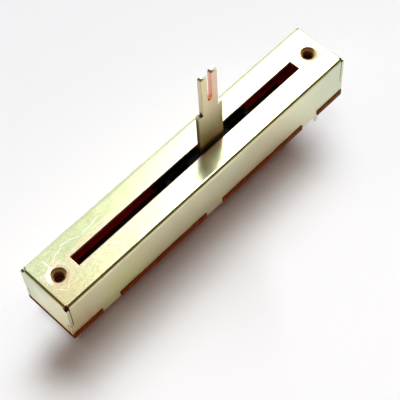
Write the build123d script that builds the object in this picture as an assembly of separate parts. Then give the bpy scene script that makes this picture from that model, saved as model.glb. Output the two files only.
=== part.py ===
from build123d import *
import os

# Slide potentiometer with 60 mm of travel. X runs along the slot, Z is up, and the tips of the terminals
# stand on Z = 0 under the middle of the case. All sizes are in millimetres.

# Travel, and where the lever stands at rest, measured from the middle of the slot
travel = 60.0
rest_place = 6.8

# Lever, a flat steel blade, measured up from the case's top face
blade = 1.1
blade_width = 7.2
blade_root = 2.2
blade_corner = 0.25
anchor_hole = 1.0
anchor_notch = 0.7
anchor_height = 2.4
shoulder_height = 12.4
relief_notch = 0.32
stem_width = 4.8
stem_height = 3.7
prong_gap = 1.3
prong_length = 8.7
point_height = 0.6
point_chamfer = 0.27

# Case, folded from one steel sheet
sheet = 0.75
bend_inner = 0.22
case_width = 14.6
wall_height = 12.2
slot_width = 2.9
slot_end_clearance = 1.7
slot_rollover = 0.14
hole_margin = 4.7
end_margin = 4.6

# Corner seams of the case: an ear of the end wall laps the side wall above, the side wall laps the end below
seam_height = 4.1
seam_gap = 0.22
seam_corner = 0.4
relief_radius = 0.64
relief_reach = 2.0

# Mounting holes, pierced, drawn down into a collar and tapped for an M3 screw
tapped_bore = 2.5
collar_wall = 0.5
collar_drop = 1.6
mouth_radius = 1.0
dimple_width = 0.4
dimple_depth = 0.05

# Clinch tabs, three on each long side, folded under the board
tab_width = 5.3
tab_reach = 1.6
tab_margin = 11.6
tab_bend = 0.12
tabs_each_side = 3

# Base board of paper laminate
board_thickness = 1.6
board_side_overhang = 0.25
board_end_overhang = 0.05
board_corner = 0.35
notch_clearance = 0.15

# Eyelets
eyelet_radius = 0.6
eyelet_bore = 0.35
eyelet_flange = 0.25
eyelet_head = 1.0
eyelet_roll = 0.92
eyelet_clearance = 0.03

# Terminals, stamped from strip and riveted to the board
terminal_drop = 4.2
terminal_strip = 0.4
terminal_bend = 0.3
terminal_arm_width = 1.4
terminal_arm_length = 2.1
terminal_inset = 2.1
terminal_stagger = 5.9
pin_width = 0.9
pin_inset = 1.0
pin_shoulder = 1.2
pin_point = 0.28
eye_radius = 1.25

# Printed films on the board
film = 0.06
track_width = 2.8
track_margin = 1.05
track_end_gap = 0.2
pad_margin = 1.4

# Carriage, moulded in black acetal
end_clearance = 0.3
flank_clearance = 0.25
roof_clearance = 0.2
foot_clearance = 0.15
collar_clearance = 0.4
collar_headroom = 1.35
belly_height = 2.0
foot_width = 0.55
flank_relief = 0.35
flank_rib = 4.0
boss_wall = 3.0
pocket_wall = 1.3
pocket_floor = 1.5
pocket_side = 0.65

# Drag springs, one bowed leaf in each shoulder of the carriage
leaf = 0.15
leaf_end_wall = 6.05
leaf_side_wall = 0.6
leaf_pocket_depth = 0.9
leaf_clearance = 0.15
touch_gap = 0.05

# Wiper, one spring sheet with a comb of fingers on each track
wiper_sheet = 0.15
wiper_root = 2.6
wiper_plate = 4.4
wiper_contact = 1.8
wiper_curl = 0.8
wiper_curl_rise = 0.55
wiper_bend = 0.5
wiper_edge = 1.2
finger_width = 0.45
finger_pitch = 0.8
fingers = 3
stake_radius = 0.55
stake_head = 0.95
stake_height = 0.4
stake_inset = 1.8
stake_clearance = 0.04

# Levels
board_bottom = terminal_drop
board_top = board_bottom + board_thickness
film_top = board_top + film
case_top = board_top + wall_height
roof = case_top - sheet
belly = board_top + belly_height
shoulder = roof - roof_clearance

# Lengths that follow from the travel
slot_length = travel + blade_width + slot_end_clearance * 2
hole_spacing = slot_length + hole_margin * 2
case_length = hole_spacing + end_margin * 2

# Case faces
bend_outer = bend_inner + sheet
half_length = case_length / 2
half_width = case_width / 2
inner_length = half_length - sheet
inner_width = half_width - sheet
collar_outside = tapped_bore / 2 + collar_wall

# Places of the terminals, their eyelets and the printed tracks
near_terminal_x = half_length - terminal_inset
far_terminal_x = near_terminal_x - terminal_stagger
pin_offset = half_width - pin_inset
eyelet_offset = pin_offset - terminal_arm_length
track_outer = inner_width - track_margin
track_inner = track_outer - track_width
track_offset = (track_outer + track_inner) / 2
track_half_length = far_terminal_x - eyelet_head - track_end_gap

# Carriage faces, measured from the lever
carriage_half = inner_length - travel / 2 - end_clearance
carriage_side = inner_width - flank_clearance
channel = collar_outside + collar_clearance
channel_floor = roof - collar_drop - collar_headroom
boss_half_length = blade_width / 2 + boss_wall
leaf_half_length = carriage_half - leaf_end_wall
leaf_inner = channel + leaf_side_wall
leaf_outer = carriage_side - flank_relief - leaf_side_wall
leaf_offset = (leaf_inner + leaf_outer) / 2
stake_x = wiper_root + wiper_plate / 2
stake_y = track_offset - stake_inset

SIGNS = (-1, 1)
CORNERS = [(x, y) for x in SIGNS for y in SIGNS]


def block(x0, x1, y0, y1, z0, z1):
    """A box between two corners, given in any order."""
    size = (abs(x1 - x0), abs(y1 - y0), abs(z1 - z0))
    return Pos((x0 + x1) / 2, (y0 + y1) / 2, (z0 + z1) / 2) * Box(*size)


def to_corner(shape, x_sign, y_sign):
    """The shape made for the +X +Y corner, mirrored to another corner."""
    if x_sign < 0:
        shape = mirror(shape, about=Plane.YZ)
    if y_sign < 0:
        shape = mirror(shape, about=Plane.XZ)
    return shape


def folded_edge(across, foot):
    """Section of a wall and its bend, with its outer face at across and its lower edge at foot."""
    centre_across = across - bend_outer
    centre_up = case_top - bend_outer
    ring = Pos(centre_across, centre_up) * (Circle(bend_outer) - Circle(bend_inner))
    quarter = Pos(across - bend_outer / 2, case_top - bend_outer / 2) * Rectangle(bend_outer, bend_outer)
    flat = Pos(across - sheet / 2, (foot + centre_up) / 2) * Rectangle(sheet, centre_up - foot)
    return (ring & quarter) + flat


def ear_zone(grow):
    """What an end wall's ear takes of a side wall, seen from the side, with its round lower corner."""
    far = half_length + sheet
    high = case_top + sheet
    left = inner_length - grow
    low = board_top + seam_height - grow
    zone = Pos((left + far) / 2, (low + high) / 2) * Rectangle(far - left, high - low)
    corner = zone.vertices().sort_by(Axis.X)[:2].sort_by(Axis.Y)[:1]
    return fillet(corner, seam_corner + grow)


def side_walls():
    """The two long walls with their bends, cut back for the ears at both ends."""
    wall = extrude(Plane.YZ * folded_edge(half_width, board_top), half_length, both=True)
    ear = extrude(Plane.XZ * ear_zone(seam_gap), case_width, both=True)
    wall = wall - ear - mirror(ear, about=Plane.YZ)
    return wall + mirror(wall, about=Plane.XZ)


def end_walls():
    """The two end walls with their bends and their ears."""
    inside = inner_width - seam_gap
    profile = Plane.XZ * folded_edge(half_length, board_top)
    middle = extrude(profile, inside, both=True)
    ears = extrude(profile, half_width, both=True) - block(0, case_length, -inside, inside, 0, case_top * 2)
    ears = ears & extrude(Plane.XZ * ear_zone(0), case_width, both=True)
    wall = middle + ears
    return wall + mirror(wall, about=Plane.YZ)


def clinch_tabs():
    """Tabs that run down from the side walls through the board's notches and fold under it."""
    outer = tab_bend + sheet
    down = board_bottom + tab_bend
    bend_across = inner_width - tab_bend
    ring = Pos(bend_across, down) * (Circle(outer) - Circle(tab_bend))
    quarter = Pos(bend_across + outer / 2, down - outer / 2) * Rectangle(outer, outer)
    flat = Pos(half_width - sheet / 2, (board_top + down) / 2) * Rectangle(sheet, board_top - down)
    tip = half_width - tab_reach
    fold = Pos((bend_across + tip) / 2, board_bottom - sheet / 2) * Rectangle(bend_across - tip, sheet)
    tab = extrude(Plane.YZ * ((ring & quarter) + flat + fold), tab_width / 2, both=True)
    return [Pos(x, 0, 0) * tab for x in tab_places()]


def tab_places():
    """X of each tab along a side."""
    first = tab_margin - half_length
    pitch = -first * 2 / (tabs_each_side - 1)
    return [first + pitch * i for i in range(tabs_each_side)]


def hole_places():
    """X of each mounting hole."""
    return [sign * hole_spacing / 2 for sign in SIGNS]


def collar():
    """Material drawn down round a mounting hole, before the hole is cut."""
    return Pos(0, 0, roof - collar_drop / 2) * Cylinder(collar_outside, collar_drop)


def hole_cutter():
    """The hole with its rounded mouth and the shallow dimple that the punch leaves."""
    bore = tapped_bore / 2
    mouth = bore + mouth_radius
    rim = mouth + dimple_width
    mouth_top = case_top - dimple_depth
    middle = mouth_radius * (1 - 2 ** -0.5)
    with BuildPart() as cutter:
        with BuildSketch(Plane.XZ):
            with BuildLine():
                Line((0, roof - collar_drop - sheet), (bore, roof - collar_drop - sheet))
                Line((bore, roof - collar_drop - sheet), (bore, mouth_top - mouth_radius))
                ThreePointArc(
                    (bore, mouth_top - mouth_radius), (bore + middle, mouth_top - middle), (mouth, mouth_top)
                )
                Line((mouth, mouth_top), (rim, case_top))
                Line((rim, case_top), (rim, case_top + sheet))
                Line((rim, case_top + sheet), (0, case_top + sheet))
                Line((0, case_top + sheet), (0, roof - collar_drop - sheet))
            make_face()
        revolve(axis=Axis.Z)
    return cutter.part


def slot_cutter():
    """The slot with the rounded upper edge that the punch leaves."""
    opening = block(-slot_length / 2, slot_length / 2, -slot_width / 2, slot_width / 2, roof - sheet, case_top)
    wide = slot_width / 2 + slot_rollover
    long = slot_length / 2 + slot_rollover
    lip = block(-long, long, -wide, wide, case_top - slot_rollover, case_top + sheet)
    rounding = lip - block(-long, long, -wide, wide, case_top, case_top + sheet)
    for sign in SIGNS:
        bar = Pos(0, sign * wide, case_top - slot_rollover) * Rot(0, 90, 0)
        rounding -= bar * Cylinder(slot_rollover, slot_length + sheet)
        bar = Pos(sign * long, 0, case_top - slot_rollover) * Rot(90, 0, 0)
        rounding -= bar * Cylinder(slot_rollover, slot_width + sheet)
    return opening + rounding


def case():
    """The folded steel case, one piece."""
    flat_length = half_length - bend_outer
    flat_width = half_width - bend_outer
    shell = block(-flat_length, flat_length, -flat_width, flat_width, roof, case_top)
    shell = shell + side_walls() + end_walls()
    for tab in clinch_tabs():
        shell = shell + tab + mirror(tab, about=Plane.XZ)
    for x in hole_places():
        shell = shell + Pos(x, 0, 0) * collar()
        shell = shell - Pos(x, 0, 0) * hole_cutter()
    corner = Plane(origin=(half_length, half_width, case_top), z_dir=(1, 1, 1))
    relief = corner * Cylinder(relief_radius, relief_reach * 2)
    for x_sign, y_sign in CORNERS:
        shell = shell - to_corner(relief, x_sign, y_sign)
    return shell - slot_cutter()


def terminal_places():
    """Name, X, side and whether a printed pad lies under the eyelet, for each terminal."""
    return [
        ("track_near", -near_terminal_x, -1, True),
        ("track_far", far_terminal_x, -1, True),
        ("collector_near", -near_terminal_x, 1, True),
        ("spare_far", near_terminal_x, 1, False),
    ]


def base_board():
    """The laminate board, with notches for the tabs and holes for the eyelets."""
    long = half_length + board_end_overhang
    wide = half_width + board_side_overhang
    board = block(-long, long, -wide, wide, board_bottom, board_top)
    board = fillet(board.edges().filter_by(Axis.Z), board_corner)
    notch_floor = inner_width - notch_clearance
    half_notch = tab_width / 2 + notch_clearance
    for x in tab_places():
        notch = block(x - half_notch, x + half_notch, notch_floor, wide + sheet, 0, case_top)
        board = board - notch - mirror(notch, about=Plane.XZ)
    drill = Cylinder(eyelet_radius + eyelet_clearance, case_top)
    for _, x, side, _ in terminal_places():
        board = board - Pos(x, side * eyelet_offset, board_bottom) * drill
    return board


def track(side):
    """A printed track along the board."""
    end = track_half_length
    return block(-end, end, side * track_inner, side * track_outer, board_top, film_top)


def pad(x, side):
    """A silver pad that runs from the end of a track round a terminal's eyelet."""
    end = x + pad_margin if x > 0 else x - pad_margin
    start = track_half_length if x > 0 else -track_half_length
    shape = block(start, end, side * track_inner, side * track_outer, board_top, film_top)
    return shape - Pos(x, side * eyelet_offset, board_top) * Cylinder(eyelet_radius + eyelet_clearance, sheet)


def terminal(x, side):
    """A terminal: an eye under the board, an arm outwards and a pin down."""
    strip_level = board_bottom - terminal_strip / 2
    path = FilletPolyline(
        (eyelet_offset, strip_level), (pin_offset, strip_level), (pin_offset, 0), radius=terminal_bend
    )
    arm = trace(path, terminal_strip)
    body = extrude(Plane.YZ * arm, terminal_arm_width / 2, both=True)
    lower = board_bottom - pin_shoulder
    for sign in SIGNS:
        body -= block(sign * pin_width / 2, sign * terminal_arm_width, 0, half_width, -sheet, lower)
        point = Pos(sign * pin_width / 2, pin_offset, 0) * Rot(0, 45, 0) * Box(pin_point, sheet, pin_point)
        body -= point
    eye = Pos(0, eyelet_offset, strip_level) * Cylinder(eye_radius, terminal_strip)
    body = body + eye
    body -= Pos(0, eyelet_offset, strip_level) * Cylinder(eyelet_radius + eyelet_clearance, sheet)
    body = Pos(x, 0, 0) * body
    return body if side > 0 else mirror(body, about=Plane.XZ)


def eyelet(x, side, on_pad):
    """A hollow rivet with a domed head above and a rolled edge below."""
    seat = film_top if on_pad else board_top
    under = board_bottom - terminal_strip
    top = seat + eyelet_flange
    foot = under - eyelet_flange
    outline = Polyline(
        (eyelet_bore, foot),
        (eyelet_roll, under),
        (eyelet_radius, under),
        (eyelet_radius, seat),
        (eyelet_head, seat),
        (eyelet_bore, top),
        close=True,
    )
    body = revolve(Plane.XZ * make_face(outline), axis=Axis.Z)
    return Pos(x, side * eyelet_offset, 0) * body


def lever():
    """The blade: a wide foot with shoulders, a stem, and two prongs with chamfered tips."""
    bottom = belly + blade_root
    waist = case_top + shoulder_height
    fork = waist + stem_height + prong_gap / 2
    tip = waist + stem_height + prong_length
    foot = Pos(0, (bottom + waist) / 2) * Rectangle(blade_width, waist - bottom)
    foot = fillet(foot.vertices(), blade_corner)
    stem = Pos(0, (waist + tip) / 2 - sheet) * Rectangle(stem_width, tip - waist + sheet * 2)
    outline = foot + stem
    outline -= Pos(0, fork) * Circle(prong_gap / 2)
    outline -= Pos(0, (fork + tip) / 2 + sheet) * Rectangle(prong_gap, tip - fork + sheet * 2)
    hole_level = bottom + anchor_height
    outline -= Pos(0, hole_level) * Circle(anchor_hole)
    for sign in SIGNS:
        outline -= Pos(sign * (stem_width / 2 + relief_notch / 2), waist) * Circle(relief_notch)
        outline -= Pos(sign * blade_width / 2, hole_level) * Circle(anchor_notch)
    body = extrude(Plane.XZ * outline, blade / 2, both=True)
    prong_width = (stem_width - prong_gap) / 2
    for sign in SIGNS:
        place = Pos(sign * (prong_gap + prong_width) / 2, 0, tip)
        base = place * Rectangle(prong_width, blade)
        crown = place * Pos(0, 0, point_height) * Rectangle(
            prong_width - point_chamfer * 2, blade - point_chamfer * 2
        )
        body = body + loft([base.faces()[0], crown.faces()[0]])
    return Pos(rest_place, 0, 0) * body


def carriage():
    """The moulding that carries the blade, the wiper and the drag springs."""
    half = carriage_half
    wide = carriage_side
    foot = board_top + foot_clearance
    body = block(-half, half, -wide, wide, belly, shoulder)
    rail = block(0, half, wide - foot_width, wide, foot, belly)
    trough = block(0, half + sheet, 0, channel, channel_floor, case_top)
    inside = channel - pocket_side
    hollow = block(boss_half_length, half - pocket_wall, 0, inside, belly + pocket_floor, case_top)
    relief = block(0, half - flank_rib, wide - flank_relief, wide + sheet, foot - sheet, case_top)
    pocket_end = leaf_half_length + leaf_clearance
    pocket = block(0, pocket_end, leaf_inner, leaf_outer, shoulder - leaf_pocket_depth, case_top)
    for x_sign, y_sign in CORNERS:
        body = body + to_corner(rail, x_sign, y_sign)
        for cut in (trough, hollow, relief, pocket):
            body = body - to_corner(cut, x_sign, y_sign)
    for sign in SIGNS:
        body = body + Pos(-stake_x, sign * stake_y, belly) * stake()
    return Pos(rest_place, 0, 0) * body - lever()


def stake():
    """A peg melted over under the wiper, hanging from the carriage's underside at Z = 0."""
    under = -wiper_sheet
    outline = Polyline(
        (0, 0),
        (stake_radius, 0),
        (stake_radius, under),
        (stake_head, under),
        (stake_radius, under - stake_height),
        (0, under - stake_height),
        close=True,
    )
    return revolve(Plane.XZ * make_face(outline), axis=Axis.Z)


def drag_spring(side):
    """A bowed leaf that bears on the top plate from a pocket in the carriage."""
    low = shoulder - leaf_pocket_depth + leaf / 2
    high = roof - touch_gap - leaf / 2
    half_leaf = (leaf_outer - leaf_inner) / 2 - leaf_clearance
    path = ThreePointArc((-leaf_half_length, low), (0, high), (leaf_half_length, low))
    body = extrude(Plane.XZ * trace(path, leaf), half_leaf, both=True)
    return Pos(rest_place, side * leaf_offset, 0) * body


def wiper():
    """The spring sheet staked under the carriage, with its two combs of fingers."""
    level = belly - wiper_sheet / 2
    contact = film_top + touch_gap + wiper_sheet / 2
    back = wiper_root + wiper_plate
    edge = track_offset + wiper_edge
    plate = block(-back, -wiper_root, -edge, edge, belly - wiper_sheet, belly)
    path = FilletPolyline(
        (-wiper_root - wiper_bend, level),
        (-wiper_root + wiper_bend, level),
        (wiper_contact, contact),
        (wiper_contact + wiper_curl, contact + wiper_curl_rise),
        radius=wiper_bend,
    )
    finger = extrude(Plane.XZ * trace(path, wiper_sheet), finger_width / 2, both=True)
    body = plate
    for side in SIGNS:
        for i in range(fingers):
            across = side * track_offset + (i - (fingers - 1) / 2) * finger_pitch
            body = body + Pos(0, across, 0) * finger
        body -= Pos(-stake_x, side * stake_y, level) * Cylinder(stake_radius + stake_clearance, sheet)
    return Pos(rest_place, 0, 0) * body


def write(shape, name):
    """Write one node."""
    export_step(shape, f"parts/{name}.step")


os.makedirs("parts", exist_ok=True)
write(case(), "case")
write(base_board(), "base_board")
write(track(-1), "resistive_track")
write(track(1), "collector_track")
for name, place, board_side, printed in terminal_places():
    write(terminal(place, board_side), f"terminal_{name}")
    write(eyelet(place, board_side, printed), f"eyelet_{name}")
    if printed:
        write(pad(place, board_side), f"silver_pad_{name}")
write(carriage(), "carriage")
write(lever(), "lever")
write(wiper(), "wiper")
write(drag_spring(-1), "drag_spring_near_side")
write(drag_spring(1), "drag_spring_far_side")
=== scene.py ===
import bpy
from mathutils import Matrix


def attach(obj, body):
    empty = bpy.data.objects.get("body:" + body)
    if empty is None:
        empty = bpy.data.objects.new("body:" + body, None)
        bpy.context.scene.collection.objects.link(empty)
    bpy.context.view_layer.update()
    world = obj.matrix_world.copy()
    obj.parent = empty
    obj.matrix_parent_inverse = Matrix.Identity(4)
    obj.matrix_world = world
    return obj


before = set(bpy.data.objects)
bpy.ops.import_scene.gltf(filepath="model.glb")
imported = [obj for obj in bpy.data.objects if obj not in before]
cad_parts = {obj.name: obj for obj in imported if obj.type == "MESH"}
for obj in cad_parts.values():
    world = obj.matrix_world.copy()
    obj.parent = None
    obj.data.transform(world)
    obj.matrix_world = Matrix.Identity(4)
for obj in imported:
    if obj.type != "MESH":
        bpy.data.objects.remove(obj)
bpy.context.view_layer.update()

import logging
import math
from dataclasses import dataclass
from enum import Enum
from typing import ClassVar

import bpy
from mathutils import Matrix, Vector

# A slide potentiometer: the finishes of its sheet metal, board and sliding parts, the threads of its two
# mounting holes, and the studio it is shown in. X runs along the slot, Z is up, and all lengths are in metres.

log = logging.getLogger("slide_potentiometer")

MM = 0.001
Colour = tuple[float, float, float]
Point = tuple[float, float, float]
Span = tuple[float, float]
Node = bpy.types.Node
Piece = bpy.types.Object
Socket = bpy.types.NodeSocket
Outputs = bpy.types.NodeOutputs
FLOAT = "NodeSocketFloat"
VECTOR = "NodeSocketVector"
COLOUR = "NodeSocketColor"
ORIGIN: Point = (0.0, 0.0, 0.0)


class Slot(Enum):
    """The record's material slots."""

    PLATED_CASE = "plated_case"
    LAMINATE = "laminate"
    CARBON_FILM = "carbon_film"
    SILVER_FILM = "silver_film"
    TINNED_BRASS = "tinned_brass"
    BLACK_ACETAL = "black_acetal"
    LEVER_STEEL = "lever_steel"
    CONTACT_SPRING = "contact_spring"
    BRONZE_SPRING = "bronze_spring"


class Rolling(Enum):
    """Which way the mill rolled a sheet, as the stretch of its grain along X, Y and Z."""

    ALONG_X = (0.06, 1.0, 1.0)
    ALONG_Z = (1.0, 1.0, 0.05)
    EVEN = (1.0, 1.0, 1.0)


@dataclass(frozen=True)
class Tint:
    """A colour, and how much of it shows where its mask is full."""

    colour: Colour
    share: float = 1.0


class Graph:
    """A shader node tree with short ways to add and join nodes. A value is a number or an output."""

    def __init__(self, tree: bpy.types.NodeTree) -> None:
        """Work on a tree."""
        self.tree = tree

    def feed(self, node: Node, feeds: dict) -> None:
        """Join outputs to a node's inputs, or set the inputs' own values.

        Args:
            node: the node.
            feeds: an output, a number, a vector or a colour for each input, by name or number.
        """
        for key, value in feeds.items():
            socket = node.inputs[key]
            if isinstance(value, bpy.types.NodeSocket):
                self.tree.links.new(value, socket)
            elif socket.type == "RGBA":
                socket.default_value = (*value, 1.0)
            else:
                socket.default_value = value

    def add(self, kind: str, feeds: dict | None = None, **settings: object) -> Node:
        """Add a node.

        Args:
            kind: the node's type.
            feeds: what goes into its inputs, as feed takes it.
            settings: the node's own properties.

        Returns:
            The node.
        """
        node = self.tree.nodes.new(kind)
        for name, value in settings.items():
            setattr(node, name, value)
        self.feed(node, feeds or {})
        return node

    def math(self, operation: str, first: object, *others: object, clamp: bool = False) -> Socket:
        """Work out a number from one value, or from several taken in turn.

        Args:
            operation: the math node's operation.
            first: the first value.
            others: the other values, if the operation takes any.
            clamp: whether the result stays between 0 and 1.

        Returns:
            The result's output.
        """
        result = first
        for other in others or (0.0,):
            feeds = {0: result, 1: other}
            result = self.add("ShaderNodeMath", feeds, operation=operation, use_clamp=clamp).outputs[0]
        return result

    def times(self, *values: object) -> Socket:
        """The product of the values."""
        return self.math("MULTIPLY", *values)

    def plus(self, first: object, second: object) -> Socket:
        """The sum of two values."""
        return self.math("ADD", first, second)

    def minus(self, first: object, second: object) -> Socket:
        """The first value less the second."""
        return self.math("SUBTRACT", first, second)

    def most(self, *values: object) -> Socket:
        """The greatest of the values."""
        return self.math("MAXIMUM", *values)

    def least(self, *values: object) -> Socket:
        """The least of the values."""
        return self.math("MINIMUM", *values)

    def over(self, value: object, limit: float) -> Socket:
        """1 where a value is over a limit, and otherwise 0."""
        return self.math("GREATER_THAN", value, limit)

    def under(self, value: object, limit: float) -> Socket:
        """1 where a value is under a limit, and otherwise 0."""
        return self.math("LESS_THAN", value, limit)

    def past(self, value: object, limit: float) -> Socket:
        """How far a value is past a limit, and 0 short of it."""
        return self.most(self.minus(value, limit), 0.0)

    def unsigned(self, value: object) -> Socket:
        """A value without its sign."""
        return self.math("ABSOLUTE", value)

    def radius(self, first: object, second: object) -> Socket:
        """The length of a step, by its two parts."""
        squares = self.plus(self.math("POWER", first, 2.0), self.math("POWER", second, 2.0))
        return self.math("SQRT", squares)

    def vector(self, operation: str, first: object, second: object = ORIGIN) -> Socket:
        """Work out a vector from two, or the number that a length, a distance or a dot product is."""
        node = self.add("ShaderNodeVectorMath", {0: first, 1: second}, operation=operation)
        return node.outputs[1 if operation in {"DOT_PRODUCT", "LENGTH", "DISTANCE"} else 0]

    def mix(self, share: object, first: object, second: object, kind: str = "MIX") -> Socket:
        """Mix two colours by the second one's share."""
        feeds = {0: share, 6: first, 7: second}
        return self.add("ShaderNodeMix", feeds, data_type="RGBA", blend_type=kind).outputs[2]

    def tint(self, colour: object, tint: Tint, *masks: object) -> Socket:
        """Lay a tint over a colour, where all the masks are."""
        return self.mix(self.times(*masks, tint.share), colour, tint.colour)

    def remap(self, value: object, span: Span, result: Span = (0.0, 1.0)) -> Socket:
        """Map a span of numbers to another, with soft ends."""
        feeds = {0: value, 1: span[0], 2: span[1], 3: result[0], 4: result[1]}
        return self.add("ShaderNodeMapRange", feeds, interpolation_type="SMOOTHSTEP").outputs[0]

    def noise(self, place: object, scale: object, detail: float = 2.0, rough: float = 0.5) -> Socket:
        """Soft noise: its cells a metre, how many finer layers it has and how strong they are."""
        feeds = {"Vector": place, "Scale": scale, "Detail": detail, "Roughness": rough}
        return self.add("ShaderNodeTexNoise", feeds).outputs[0]

    def ramp(self, factor: object, stops: tuple[tuple[float, Colour], ...]) -> Socket:
        """Look a colour up.

        Args:
            factor: the value that picks the place on the ramp.
            stops: the places and colours of the ramp.

        Returns:
            The colour's output.
        """
        node = self.add("ShaderNodeValToRGB", {0: factor})
        elements = node.color_ramp.elements
        while len(elements) < len(stops):
            elements.new(0.5)
        for element, (place, colour) in zip(elements, stops):
            element.position = place
            element.color = (*colour, 1.0)
        return node.outputs[0]

    def bump(self, height: object, depth: float, **rounded: Socket) -> Socket:
        """The direction of a surface that a height of 1 raises by the depth, over a rounded Normal."""
        feeds = {"Height": height, "Distance": depth, "Strength": 1.0} | rounded
        return self.add("ShaderNodeBump", feeds).outputs[0]

    def split(self, vector: object) -> tuple[Socket, Socket, Socket]:
        """The X, Y and Z outputs of a vector."""
        outputs = self.add("ShaderNodeSeparateXYZ", {0: vector}).outputs
        return outputs[0], outputs[1], outputs[2]

    def place(self) -> Socket:
        """The place on the part."""
        return self.add("ShaderNodeTexCoord").outputs["Object"]

    def normal(self) -> Socket:
        """The surface's own direction."""
        return self.add("ShaderNodeNewGeometry").outputs["Normal"]

    def glow(self, kind: str, colour: object) -> Node:
        """A plain light of strength 1, as an emission or a background node."""
        return self.add(kind, {"Color": colour, "Strength": 1.0})

    def end(self, output: str, share: Socket, first: Node, second: Node) -> None:
        """End the tree in an output node, with two shaders mixed by the second one's share."""
        mixed = self.add("ShaderNodeMixShader", {0: share, 1: first.outputs[0], 2: second.outputs[0]})
        self.add(output, {0: mixed.outputs[0]})


class Spot:
    """The place on the part and the surface's direction, each in three parts."""

    def __init__(self, graph: Graph) -> None:
        """Read them in a material's tree.

        Args:
            graph: the material's tree.
        """
        self.graph = graph
        self.place = graph.place()
        self.x, self.y, self.z = graph.split(self.place)
        self.facing_x, self.facing_y, self.facing_z = graph.split(graph.normal())


@dataclass(frozen=True)
class Plug:
    """One input or output of an effect."""

    name: str
    kind: str
    value: float | Point | None = None


PLACE = Plug("Place", VECTOR, ORIGIN)
MASK = Plug("Mask", FLOAT)


class Effect:
    """A shader node group, built once and placed in each material that uses it."""

    label = ""
    takes: tuple[Plug, ...] = ()
    gives: tuple[Plug, ...] = (MASK,)

    def wire(self, graph: Graph, entry: Outputs) -> dict[str, Socket]:
        """Lay the group's own nodes.

        Args:
            graph: the group's tree.
            entry: the group's inputs, as outputs inside it.

        Returns:
            What the group gives, by name.
        """
        raise NotImplementedError

    def group(self) -> bpy.types.NodeTree:
        """Build the group's tree at its first use.

        Returns:
            The tree.
        """
        tree = bpy.data.node_groups.get(self.label)
        if tree is None:
            tree = bpy.data.node_groups.new(self.label, "ShaderNodeTree")
            for plug in self.takes:
                socket = tree.interface.new_socket(plug.name, in_out="INPUT", socket_type=plug.kind)
                socket.default_value = plug.value
            for plug in self.gives:
                tree.interface.new_socket(plug.name, in_out="OUTPUT", socket_type=plug.kind)
            graph = Graph(tree)
            given = self.wire(graph, graph.add("NodeGroupInput").outputs)
            graph.add("NodeGroupOutput", given)
            log.info("effect %s built", self.label)
        return tree

    def put(self, graph: Graph, **values: object) -> Outputs:
        """Place the group in a material with values for its inputs, and take its outputs."""
        return graph.add("ShaderNodeGroup", values, node_tree=self.group()).outputs


class EdgeWear(Effect):
    """Finds the edges and rounds their shading."""

    label = "edge_wear"
    takes = (Plug("Radius", FLOAT, 0.1 * MM), Plug("Gain", FLOAT, 4.0))
    gives = (MASK, Plug("Normal", VECTOR))

    SAMPLES = 6

    def wire(self, graph: Graph, entry: Outputs) -> dict[str, Socket]:
        """Compare the rounded direction with the plain one; see Effect.wire."""
        rounded = graph.add("ShaderNodeBevel", {"Radius": entry["Radius"]}, samples=self.SAMPLES).outputs[0]
        turned = graph.minus(1.0, graph.vector("DOT_PRODUCT", rounded, graph.normal()))
        return {"Mask": graph.math("MULTIPLY", turned, entry["Gain"], clamp=True), "Normal": rounded}


class SheetGrain(Effect):
    """The fine grain that rolling and plating leave on metal sheet."""

    label = "sheet_grain"
    takes = (PLACE, Plug("Stretch", VECTOR, (1.0, 1.0, 1.0)), Plug("Fineness", FLOAT, 4000.0))
    gives = (Plug("Height", FLOAT), Plug("Cloud", FLOAT))

    COARSE = 0.18
    COARSE_HEIGHT = 0.4
    CLOUDY = 0.06
    HEIGHTS = (0.3, 1.1)
    CLOUDS = (0.3, 0.7)

    def wire(self, graph: Graph, entry: Outputs) -> dict[str, Socket]:
        """Add a fine and a coarse layer of stretched noise; see Effect.wire."""
        stretched = graph.vector("MULTIPLY", entry["Place"], entry["Stretch"])
        fine = graph.noise(stretched, entry["Fineness"], detail=3.0, rough=0.65)
        coarse = graph.noise(stretched, graph.times(entry["Fineness"], self.COARSE))
        cloud = graph.noise(entry["Place"], graph.times(entry["Fineness"], self.CLOUDY))
        return {"Height": graph.plus(fine, graph.times(coarse, self.COARSE_HEIGHT)), "Cloud": cloud}


class PassivationFilm(Effect):
    """The thin film on zinc plate, whose thickness shows as drifting tints."""

    label = "passivation_film"
    takes = (PLACE, Plug("Patches", FLOAT, 90.0), Plug("Shift", FLOAT, 0.0))
    gives = (Plug("Colour", COLOUR),)

    GREENISH = (0.71, 0.79, 0.50)
    PALE_LIME = (0.76, 0.80, 0.50)
    STRAW = (0.79, 0.79, 0.49)
    ROSE_BEIGE = (0.83, 0.76, 0.50)
    SEA_GREY = (0.77, 0.79, 0.56)
    TINTS = ((0.0, GREENISH), (0.3, PALE_LIME), (0.55, STRAW), (0.78, ROSE_BEIGE), (1.0, SEA_GREY))
    DRIFTS = (0.3, 0.7)
    FLECKS = 30.0

    def wire(self, graph: Graph, entry: Outputs) -> dict[str, Socket]:
        """Run drifting noise through the film's order of tints; see Effect.wire."""
        drift = graph.noise(entry["Place"], entry["Patches"], detail=3.0, rough=0.55)
        fleck = graph.noise(entry["Place"], graph.times(entry["Patches"], self.FLECKS))
        flecked = graph.plus(graph.remap(drift, self.DRIFTS), graph.minus(fleck, 0.5))
        thickness = graph.math("ADD", flecked, entry["Shift"], clamp=True)
        return {"Colour": graph.ramp(thickness, self.TINTS)}


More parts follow.
